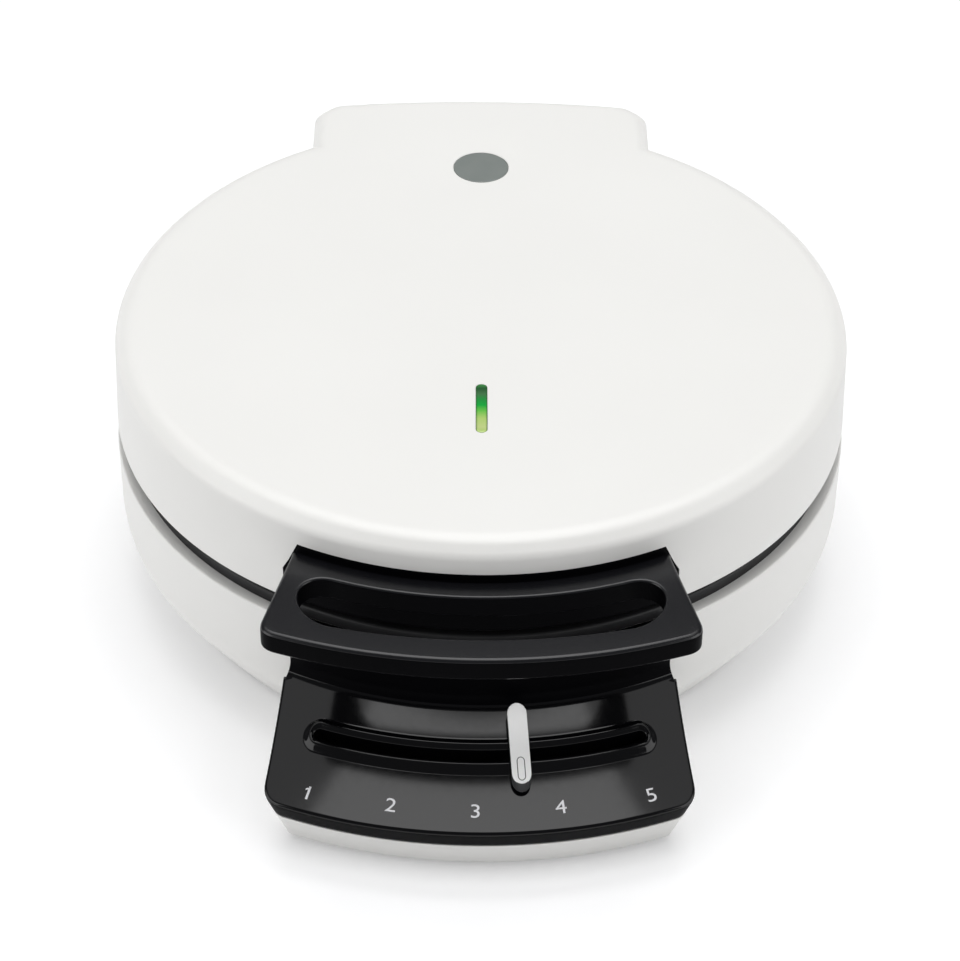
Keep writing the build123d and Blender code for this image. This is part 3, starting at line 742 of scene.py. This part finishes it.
def slot_loop(distance):
    """Loop at a distance from the slot's centre arc, counter-clockwise from above."""
    half = slot_half_angle
    steps = 72
    cap = 14
    loop = []

    def add_cap(side):
        radial = Vector((side * sin(half), -cos(half)))
        tangent = Vector((side * cos(half), sin(half)))
        for i in range(1, cap):
            angle = -pi / 2 + pi * i / cap
            place = radial * (-side * sin(angle)) * distance + tangent * cos(angle) * distance
            x = side * slot_radius * sin(half) + place.x
            loop.append((x, -slot_radius * cos(half) + place.y))

    for i in range(steps + 1):
        angle = -half + 2 * half * i / steps
        radius = slot_radius + distance
        loop.append((radius * sin(angle), -radius * cos(angle)))
    add_cap(1)
    for i in range(steps + 1):
        angle = half - 2 * half * i / steps
        radius = slot_radius - distance
        loop.append((radius * sin(angle), -radius * cos(angle)))
    add_cap(-1)
    return loop


def bead_rise(distance):
    """Height of the raised rim over the deck at a distance from the slot's centre arc."""
    share = (distance - 2.9) / 2.3
    return 1.38 * cos(pi / 2 * share) ** 2 if abs(share) < 1 else 0.0


def deck_top(x, y):
    """Height of the deck with the rim round its slot."""
    half = slot_half_angle
    angle = atan2(x, -y)
    if abs(angle) <= half:
        distance = abs(hypot(x, y) - slot_radius)
    else:
        end = half if angle > 0 else -half
        distance = hypot(x - slot_radius * sin(end), y + slot_radius * cos(end))
    return deck(hypot(x, y)) + bead_rise(distance)


def polish_deck(piece):
    """Gives the deck's top the exact normals of its surface, so that it mirrors cleanly."""
    mesh = evaluated_mesh(piece)
    piece.modifiers.clear()
    piece.data = mesh
    normals = [corner.vector.copy() for corner in mesh.corner_normals]
    step = 0.05
    for loop in mesh.loops:
        place = mesh.vertices[loop.vertex_index].co
        x = place.x * 1000
        y = place.y * 1000 - axis_y
        if abs(deck_top(x, y) - place.z * 1000) > 0.02:
            continue
        dx = (deck_top(x + step, y) - deck_top(x - step, y)) / (2 * step)
        dy = (deck_top(x, y + step) - deck_top(x, y - step)) / (2 * step)
        exact = Vector((-dx, -dy, 1)).normalized()
        if exact.dot(normals[loop.index]) > 0.86:
            normals[loop.index] = exact
    mesh.normals_split_custom_set(normals)


def make_cover():
    """Deck with its bead, slot wall, skirt, and the apron that rises behind it."""
    fillet_start = apron_radius + 2.9
    edge = 1.3
    top = tongue_loop(0, edge, fillet_start)
    rear_angle = asin(top[-1][0] / hypot(top[-1][0], top[-1][1]))
    columns = 60
    rear = []
    for i in range(1, columns):
        angle = rear_angle - 2 * rear_angle * i / columns
        rear.append((fillet_start * sin(angle), -fillet_start * cos(angle), deck(fillet_start)))
    boundary = top + rear
    hole = slot_loop(slot_half_width)
    bead = [slot_loop(distance) for distance in (
        1.95, 2.1, 2.3, 2.6, 2.9, 3.2, 3.5, 3.8, 4.1, 4.4, 4.7, 5.0, 5.4, 5.9, 6.6)]
    loops = [boundary]
    loops += [[(x, y, deck_top(x, y)) for x, y in flat] for flat in [hole] + bead]
    outline = [(x, y) for x, y, z in boundary]
    around = slot_loop(8.5)
    extra = []
    guard = offset(outline, 2.0)
    for row in range(12):
        radius = fillet_start + 2.2 + row * 3.1
        for column in range(61):
            angle = radians(-30 + column)
            x = radius * sin(angle)
            y = -radius * cos(angle)
            if inside((x, y), guard) and not inside((x, y), around):
                extra.append((x, y, deck(radius)))
    verts, faces = sheet_mesh(loops, extra, outline, [hole])
    # rounded upper edge and the skirt
    skirts = []
    for i in range(6):
        angle = pi / 2 * i / 5
        drop = edge * (1 - cos(angle)) * 0.9
        skirts.append(tongue_loop(drop, edge * (1 - sin(angle)), fillet_start, 6.0))
    skirts[0] = top
    for drop in (2.6, 4.4, 6.3, 7.7):
        skirts.append(tongue_loop(drop, 0, fillet_start))
    skirts.append(tongue_loop(8.2, 0.35, fillet_start))
    add_faces(verts, faces, *bridge(skirts, False))
    # slot wall
    walls = []
    for drop in (0, 0.6, 6.0):
        walls.append([(x, y, deck_top(x, y) - drop) for x, y in hole])
    add_faces(verts, faces, *bridge(walls))
    # fillet and apron
    apron_foot = deck(apron_radius)
    profile = curve_between((fillet_start, deck(fillet_start)), (apron_radius, apron_foot),
                            (apron_radius, apron_foot + 3.1), 9)
    profile += [(apron_radius, 48), (apron_radius, apron_top - 0.9),
                (apron_radius - 0.25, apron_top - 0.25), (apron_radius - 0.9, apron_top),
                (apron_inner, apron_top)]
    rows = []
    for radius, z in profile:
        row = []
        for i in range(columns + 1):
            angle = -rear_angle + 2 * rear_angle * i / columns
            row.append((radius * sin(angle), -radius * cos(angle), z))
        rows.append(row)
    add_faces(verts, faces, *bridge(rows, False))
    # ends of the apron and of the fillet
    for side in (-1, 1):
        angle = side * rear_angle
        start = len(verts)
        low = [(apron_inner, apron_foot - 6.5), (fillet_start, deck(fillet_start) - 6.5)]
        verts += [(radius * sin(angle), -radius * cos(angle), z) for radius, z in profile + low]
        faces.append(tuple(range(start, len(verts))))
    cover = build("deck_cover", verts, faces, black_gloss, "base", 48)
    # The skirt's steep faces and the apron take the black with almost no reflection: painted shade
    # on the deck's front and under the handle.
    cover.data.materials.append(black_painted_shade)
    for face in cover.data.polygons:
        radius = hypot(face.center.x * 1000, face.center.y * 1000 - axis_y)
        steep = face.normal.z < 0.35
        skirt = radius > 128 and steep and face.center.z * 1000 < deck(radius) - 0.7
        apron = radius < 127.5
        if skirt or apron:
            face.material_index = 1
    thick = cover.modifiers.new("wall", "SOLIDIFY")
    thick.thickness = 0.0016
    thick.offset = -1
    cover.modifiers.move(1, 0)
    polish_deck(cover)
    return cover


cover = make_cover()
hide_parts("control_cover")


# Base

def make_base():
    """Casing with its tail and tongue joined on and its inside taken away."""
    tail_half = neck_half - 0.4
    foot = 105.4
    knee = 29.6
    bend = 6.5
    lean = (base_radius - foot, knee - bottom_z)
    run = hypot(*lean)
    profile = [(foot - 1.0, bottom_z), (foot - 0.3, 1.7), (foot + 0.35, 2.3)]
    profile += [(foot + lean[0] * t, bottom_z + lean[1] * t) for t in (0.25, 0.5)]
    below = (base_radius - lean[0] / run * bend, knee - lean[1] / run * bend)
    profile += curve_between(below, (base_radius, knee), (base_radius, knee + bend), 9)
    profile += [(base_radius, 48), (base_radius, ledge_z - 0.6),
                (base_radius - 0.18, ledge_z - 0.15), (base_radius - 0.6, ledge_z),
                (base_radius - 3, ledge_z)]
    loops = [[(x, y, z) for x, y in circle(radius, 0, 0, 288)] for radius, z in profile]
    body = shell("base_shell", loops, white, "base", 38)
    tail_profile = [(5.0, bottom_z), (4.4, 2.0), (0.7, 5.8), (0.15, 6.8), (0.0, 8.0)]
    tail_profile += [(0.0, 49.2), (0.3, 50.0), (1.0, 50.3)]
    tail_loops = []
    for inset, z in tail_profile:
        half = tail_half - inset
        rear = neck_rear - 0.4 - inset
        corner_x = half - neck_corner + inset * 0.4
        corner_y = rear - neck_bulge
        side_y = corner_y - neck_corner + inset * 0.4
        outline = rounded([(half, 70), (half, side_y), (corner_x, corner_y)], [0, 2.0, 2.0], 4)[:-1]
        back = []
        for i in range(1, 12):
            x = corner_x - 2 * corner_x * i / 12
            back.append((x, rear - neck_bulge * (1 - 2 * i / 12) ** 2))
        outline = outline + back + [(-x, y) for x, y in reversed(outline)]
        tail_loops.append([(x, y, z) for x, y in outline])
    tail = shell("tail_tool", tail_loops, white, None, 38)
    under_cover = 8.45
    tongue_levels = [(bottom_z, 0.8), (1.7, 0.25), (2.3, 0.0)]
    tongue_loops = [tongue_loop(0, inset, 100.0, None, z) for z, inset in tongue_levels]
    tongue_loops.append(tongue_loop(under_cover, 0.0, 100.0))
    tongue = shell("tongue_tool", tongue_loops, white, None, 38)
    cut(body, [tail, tongue], "UNION", 38)
    hollow = shell("hollow_tool", [
        [(x, y, 4.5) for x, y in circle(103.5, 0, 0, 144)],
        [(x, y, ledge_z + 1) for x, y in circle(118.2, 0, 0, 144)],
    ], white, None)
    tray_low = tongue_loop(0, 2.4, 96.0, None, 4.5)
    tray_high = [(x, y, z + 6) for x, y, z in tongue_loop(under_cover, 2.2, 96.0)]
    tray = shell("tray_tool", [tray_low, tray_high], white, None)
    gap = block_tool("gland_tool", (-5.55, 5.55), (128, 140), (20.45, 31.55))
    cut(body, [hollow, tray, gap], "DIFFERENCE", 38)
    return body


def block_tool(name, xs, ys, zs):
    """Upright block, as a cutting tool."""
    outline = [(xs[0], ys[0]), (xs[1], ys[0]), (xs[1], ys[1]), (xs[0], ys[1])]
    return prism(name, outline, *zs)


base = make_base()
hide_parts("base_housing")
barrel = []
for i in range(29):
    angle = -pi / 2 + 1.5 * pi * i / 28
    barrel.append((hinge_y + hinge_radius * cos(angle), hinge_z + hinge_radius * sin(angle)))
web = [(hinge_y + 1.5, 49.8)] + barrel + [(hinge_y - 6.1, 49.8)]
along_x("hinge_barrel", web, -44.0, 44.0, white, "base", 0.5)


# Handle

def handle_outline():
    """Plan of the handle, counter-clockwise, with its rear edge inside the lid's wall."""
    root = (root_half, -110.0)
    flare = (66.5 - root_half) / 30
    front_radius = 179.85
    centre_y = -158.05 + front_radius
    corner = 5.4
    nose_x = 67.5
    for _ in range(20):
        nose_y = centre_y - sqrt(front_radius ** 2 - nose_x ** 2)
        nose_x = root[0] + flare * (root[1] - nose_y)
    front = []
    stop = asin(nose_x / front_radius) - corner / front_radius
    for i in range(61):
        angle = -stop + 2 * stop * i / 60
        front.append((front_radius * sin(angle), centre_y - front_radius * cos(angle)))
    corner_right = (nose_x, nose_y)
    after = toward(corner_right, root, corner)
    right = curve_between(front[-1], corner_right, after, 10)[1:]
    left = [(-x, y) for x, y in reversed(right)]
    side = [toward(after, root, (i + 1) * 6.0) for i in range(3)]
    inner = 121.0
    rear_angle = asin(58.4 / inner)
    rear = []
    for i in range(41):
        angle = rear_angle - 2 * rear_angle * i / 40
        rear.append((inner * sin(angle), -inner * cos(angle)))
    far_side = [(-x, y) for x, y in reversed(side + [root])]
    return front + right + side + [root] + rear + far_side + left


def grip_outline():
    """Plan of the finger opening: two arcs joined by round ends, counter-clockwise."""
    half = 56.0
    end = 10.0
    front_radius = 185.1
    rear_radius = 135.1
    rear_c = -129.5 + rear_radius
    front_c = -148.1 + front_radius
    stop = half - end
    front_y = front_c - sqrt(front_radius ** 2 - stop ** 2)
    rear_y = rear_c - sqrt(rear_radius ** 2 - stop ** 2)
    slope = (stop / (front_c - front_y) + stop / (rear_c - rear_y)) / 2
    middle = (front_y + rear_y) / 2
    lower = []
    back = []
    for i in range(49):
        x = -stop + 2 * stop * i / 48
        lower.append((x, front_c - sqrt(front_radius ** 2 - x * x)))
        back.append((-x, rear_c - sqrt(rear_radius ** 2 - x * x)))
    right = []
    for i in range(1, 20):
        angle = -pi / 2 + pi * i / 20
        out = end * cos(angle)
        right.append((stop + out, middle + (rear_y - front_y) / 2 * sin(angle) + slope * out))
    left = [(-x, y) for x, y in reversed(right)]
    return lower + right + back + left


def make_handle():
    """Flat loop of the handle, with soft edges outside and round the finger opening."""
    low = 79.0
    high = 86.9
    outer = handle_outline()
    grip = grip_outline()
    verts = []
    faces = []

    def around_loops(plan, sign, top_edge, low_edge):
        loops = []
        for i in range(6):
            angle = pi / 2 * i / 5
            shift = top_edge * (1 - sin(angle)) * sign
            z = high - top_edge * (1 - cos(angle))
            loops.append([(x, y, z) for x, y in offset(plan, shift)])
        for i in range(5):
            angle = pi / 2 * i / 4
            shift = low_edge * (1 - cos(angle)) * sign
            z = low + low_edge * (1 - sin(angle))
            loops.append([(x, y, z) for x, y in offset(plan, shift)])
        return loops

    outside = around_loops(outer, 1, 1.5, 1.2)
    hole = around_loops(grip, -1, 0.9, 0.9)
    add_faces(verts, faces, *bridge(outside))
    add_faces(verts, faces, *bridge(hole))
    for edge, slot in ((outside[0], hole[0]), (outside[-1], hole[-1])):
        rim = [(x, y) for x, y, z in edge]
        opening = [(x, y) for x, y, z in slot]
        add_faces(verts, faces, *sheet_mesh([edge, slot], [], rim, [opening]))
    piece = build("grip_plate", verts, faces, black_satin, "lid", 40)
    # Upright faces of the handle take the black with almost no reflection as painted shade; the top
    # and rounded edges keep the satin black.
    piece.data.materials.append(black_painted_shade)
    for face in piece.data.polygons:
        if abs(face.normal.z) < 0.35:
            face.material_index = 1
    return piece


def soften(piece, width, angle):
    """Rounds the edges that turn by more than an angle; the width is in metres."""
    soft = piece.modifiers.new("soft edge", "BEVEL")
    soft.width = width
    soft.segments = 3
    soft.limit_method = "ANGLE"
    soft.angle_limit = radians(angle)


def make_flange():
    """Curved root plate that lies flush in the front of the lid."""
    levels = [(68.0, 61.6), (74.0, 61.6), (79.0, 61.6), (83.0, 59.65), (86.5, 58.2)]
    levels += [(89.2, 57.0), (90.0, 56.7)]
    loops = []
    columns = 48
    for z, half in levels:
        outer = lid_radius(z) - 0.12
        inner = outer - 3.4
        row = []
        for radius, direction in ((outer, 1), (inner, -1)):
            for i in range(columns + 1):
                t = -1 + 2 * i / columns
                angle = asin(half * t * direction / radius)
                row.append((radius * sin(angle), -radius * cos(angle), z))
        loops.append(row)
    # The whole root plate takes the black with almost no reflection: painted shade on the strip
    # that shows above the handle.
    flange = shell("root_plate", loops, black_painted_shade, "lid", 40)
    soften(flange, 0.0006, 50)
    flange.modifiers.move(1, 0)


handle = make_handle()
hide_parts("handle")
make_flange()


# Slider knob

def knob_base(radius):
    """Height of the knob's underside, which slopes with the deck."""
    return deck(slot_radius) + 2.45 - (radius - slot_radius) * 0.56


def make_knob():
    """Slide bar at its rest angle, with a dark oval line let into its top."""
    length = 23.0
    width = 6.1
    middle = slot_radius + 0.4
    thickness = 4.0
    plan = stadium(length, width, 0, 0, 20)
    loops = []
    rings = [(0.35, 0.0), (0.0, 0.35)]
    edge = 0.3
    for i in range(5):
        angle = pi / 2 * i / 4
        rings.append((edge * (1 - cos(angle)), thickness - edge + edge * sin(angle)))
    for inset, rise in rings:
        loops.append([(x, y, rise) for x, y in offset(plan, inset)])

    def place(p):
        x, y, rise = p
        radius = middle - y
        z = knob_base(radius) + rise
        a = radians(rest_angle)
        px = x * cos(a) + radius * sin(a)
        py = x * sin(a) - radius * cos(a)
        return px, py, z

    knob = shell("slider_bar", [[place(p) for p in row] for row in loops], silver, "slider", 45)
    knob.data.materials.append(knob_side)
    for face in knob.data.polygons:
        if face.normal.z < 0.45:
            face.material_index = 1

    def oval(name, grow, low, high, mat, body):
        outline = stadium(6.2 + grow, 2.0 + grow, 0, -7.2, 12)
        rows = [[place((x, y, z)) for x, y in outline] for z in (low, high)]
        return shell(name, rows, mat, body)

    groove = oval("oval_tool", 0.6, thickness - 0.4, thickness + 1, silver, None)
    cut(groove, [oval("oval_core", 0.0, thickness - 1, thickness + 2, silver, None)])
    cut(knob, [groove], sharp=45)
    fill = oval("oval_line", 0.58, thickness - 0.45, thickness - 0.1, knob_side, "slider")
    cut(fill, [oval("oval_core", 0.02, thickness - 1, thickness + 2, silver, None)])
    return knob


knob = make_knob()
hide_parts("slider_knob")


# Numbers on the deck

def make_number(text, angle, radius):
    """Thin raised figure on the deck, turned with the slot's arc."""
    depth = 0.00004
    data = bpy.data.curves.new("number_" + text, "FONT")
    data.body = text
    data.size = 0.0063
    data.align_x = "CENTER"
    data.align_y = "CENTER"
    data.extrude = depth
    piece = bpy.data.objects.new("number_" + text, data)
    bpy.context.scene.collection.objects.link(piece)
    a = radians(angle)
    slope = (deck(radius - 1) - deck(radius + 1)) / 2
    across = Vector((cos(a), sin(a), 0))
    inward = Vector((-sin(a), cos(a), slope)).normalized()
    normal = across.cross(inward).normalized()
    place = Matrix((across, inward, normal)).transposed().to_4x4()
    place.translation = point(radius * sin(a), -radius * cos(a), deck(radius) + 0.05)
    mesh = evaluated_mesh(piece)
    if text == "1":
        stroke = [(0.1, 2.25), (-1.0, 1.5), (-1.0, 1.0), (0.1, 1.6)]
        flag = bmesh.new()
        flag.from_mesh(mesh)
        rows = []
        for z in (-depth, depth):
            rows.append([flag.verts.new((x / 1000, y / 1000, z)) for x, y in stroke])
        flag.faces.new(reversed(rows[0]))
        flag.faces.new(rows[1])
        for i in range(4):
            j = (i + 1) % 4
            flag.faces.new((rows[0][i], rows[0][j], rows[1][j], rows[1][i]))
        flag.to_mesh(mesh)
        flag.free()
    mesh.transform(place @ Matrix.Diagonal((1.2, 1.0, 1.0, 1.0)))
    bpy.data.objects.remove(piece)
    solid = bpy.data.objects.new("number_" + text, mesh)
    bpy.context.scene.collection.objects.link(solid)
    mesh.materials.clear()
    mesh.materials.append(print_white)
    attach(solid, "base")


figures = (("1", -19.7, 159.2), ("2", -10.1, 158), ("3", -0.5, 158), ("4", 9.2, 158),
           ("5", 19.7, 159.2))
for text, angle, radius in figures:
    make_number(text, angle, radius)


# Screws under the base

def make_screw(name, x, y, turn):
    """Countersunk cross-head screw seen from below."""
    z = bottom_z
    radius = 3.2
    loops = []
    for r, dz in ((radius - 0.3, 0.0), (radius, 0.25), (radius, 0.9), (radius - 0.4, 1.2)):
        loops.append([(px, py, z + dz - 0.3) for px, py in circle(r, x, y, 32)])
    screw = shell(name, loops, steel, "base", 40)
    arms = []
    for k in range(2):
        a = turn + pi / 2 * k
        dx, dy = cos(a) * radius * 0.6, sin(a) * radius * 0.6
        nx, ny = -sin(a) * 0.45, cos(a) * 0.45
        outline = [(x - dx - nx, y - dy - ny), (x + dx - nx, y + dy - ny),
                   (x + dx + nx, y + dy + ny), (x - dx + nx, y - dy + ny)]
        arms.append(prism(name + "_arm", outline, z - 1.5, z + 0.25))
    cut(screw, arms, sharp=40)


screw_places = ((-70, -62), (70, -62), (-70, 62), (70, 62), (0, -138))
for number, (x, y) in enumerate(screw_places):
    make_screw("base_screw_%d" % (number + 1), x, y, 0.4 * number)


# Solids that show as they are, with their materials

kept = {
    "rubber_feet": rubber, "cord_gland": rubber, "hinge_pins": pin_steel,
    "lower_heating_element": steel, "upper_heating_element": steel,
    "lower_heat_shield": steel, "upper_heat_shield": steel,
    "thermal_fuse": ceramic, "upper_thermal_fuse": ceramic, "terminal_block": ceramic,
    "thermostat": ceramic, "thermostat_bracket": steel, "thermostat_shaft": steel,
    "slider_lever": steel, "lamp_holder": black_inner, "indicator_lamp": green,
}
for name, mat in kept.items():
    item = nodes[name]
    if not item.material_slots:
        item.data.materials.append(mat)
    for place in item.material_slots:
        place.material = mat
for name, width in (("rubber_feet", 0.0006), ("cord_gland", 0.0005)):
    soften(nodes[name], width, 30)


# Floor, light and camera

def make_floor():
    """White floor that takes the shadow and glows more and more away from the object."""
    mat, tree, shader = material("floor_white")
    noise = grain(tree, shader, 300, 0.02, 0.00002)
    tint(tree, shader, 3.0, (0.9, 0.9, 0.905), (0.905, 0.905, 0.91))
    vary_roughness(tree, shader, noise, 0.3, 0.34)
    shader.inputs["Specular IOR Level"].default_value = 0.3

    def maths(operation, first, second):
        node = tree.nodes.new("ShaderNodeMath")
        node.operation = operation
        tree.links.new(first, node.inputs[0])
        tree.links.new(second, node.inputs[1])
        return node.outputs[0]

    rays = tree.nodes.new("ShaderNodeLightPath").outputs
    seen = maths("MAXIMUM", rays["Is Camera Ray"], rays["Is Glossy Ray"])
    seen = maths("MAXIMUM", seen, rays["Is Transmission Ray"])
    place = tree.nodes.new("ShaderNodeTexCoord")
    reach = tree.nodes.new("ShaderNodeVectorMath")
    reach.operation = "LENGTH"
    tree.links.new(place.outputs["Object"], reach.inputs[0])
    spread = tree.nodes.new("ShaderNodeMapRange")
    spread.inputs["From Min"].default_value = 0.6
    spread.inputs["From Max"].default_value = 1.8
    spread.inputs["To Min"].default_value = 0.2
    spread.inputs["To Max"].default_value = 1.0
    tree.links.new(reach.outputs["Value"], spread.inputs["Value"])
    shader.inputs["Emission Color"].default_value = (1, 1, 1, 1)
    glow = maths("MULTIPLY", seen, spread.outputs["Result"])
    tree.links.new(glow, shader.inputs["Emission Strength"])
    mesh = bpy.data.meshes.new("floor")
    size = 12.0
    corners = [(-size, -size, 0), (size, -size, 0), (size, size, 0), (-size, size, 0)]
    mesh.from_pydata(corners, [], [(0, 1, 2, 3)])
    floor = bpy.data.objects.new("floor", mesh)
    bpy.context.scene.collection.objects.link(floor)
    mesh.materials.append(mat)


make_floor()


def soft_box(name, place, target, width, height, power):
    """Rectangular lamp aimed at a target; lengths in metres, power in watts."""
    data = bpy.data.lights.new(name, "AREA")
    data.shape = "RECTANGLE"
    data.size = width
    data.size_y = height
    data.energy = power
    lamp = bpy.data.objects.new(name, data)
    lamp.location = place
    aim = Vector(target) - Vector(place)
    lamp.rotation_euler = aim.to_track_quat("-Z", "Y").to_euler()
    bpy.context.scene.collection.objects.link(lamp)


soft_box("overhead", (0.0, 0.22, 1.5), (0, 0.15, 0), 1.0, 1.5, 11.4)
soft_box("overhead_wide", (0.0, 0.22, 1.52), (0, 0.15, 0), 2.3, 1.5, 10.9)
soft_box("left", (-1.3, -0.6, 0.5), (0, 0, 0.05), 1.2, 0.9, 7.9)
soft_box("right", (1.3, -0.6, 0.5), (0, 0, 0.05), 1.2, 0.9, 7.4)

world = bpy.data.worlds.new("studio")
bpy.context.scene.world = world
world.use_nodes = True
sky = world.node_tree.nodes["Background"]
sky.inputs["Color"].default_value = (0.95, 0.96, 1.0, 1)
sky.inputs["Strength"].default_value = 0.16

# Camera fitted to the photograph's round edges: angles in radians, focal length in pixels
pitch = 0.679
yaw = 0.008
roll = 0.011
focal_pixels = 2939.335
picture_height = 961
ahead = Vector((sin(yaw) * cos(pitch), cos(yaw) * cos(pitch), -sin(pitch)))
level_right = Vector((cos(yaw), -sin(yaw), 0))
level_up = level_right.cross(ahead)
right = level_right * cos(roll) + level_up * sin(roll)
up = level_up * cos(roll) - level_right * sin(roll)
lens_data = bpy.data.cameras.new("camera")
lens_data.sensor_width = 36
lens_data.lens = focal_pixels * 36 / picture_height
lens_data.clip_start = 0.05
lens_data.clip_end = 20
camera = bpy.data.objects.new("camera", lens_data)
turn = Matrix((right, up, -ahead)).transposed().to_4x4()
turn.translation = point(-6.248, -802.375, 675.799)
camera.matrix_world = turn
bpy.context.scene.collection.objects.link(camera)
bpy.context.scene.camera = camera
bpy.context.scene.view_settings.view_transform = "Standard"
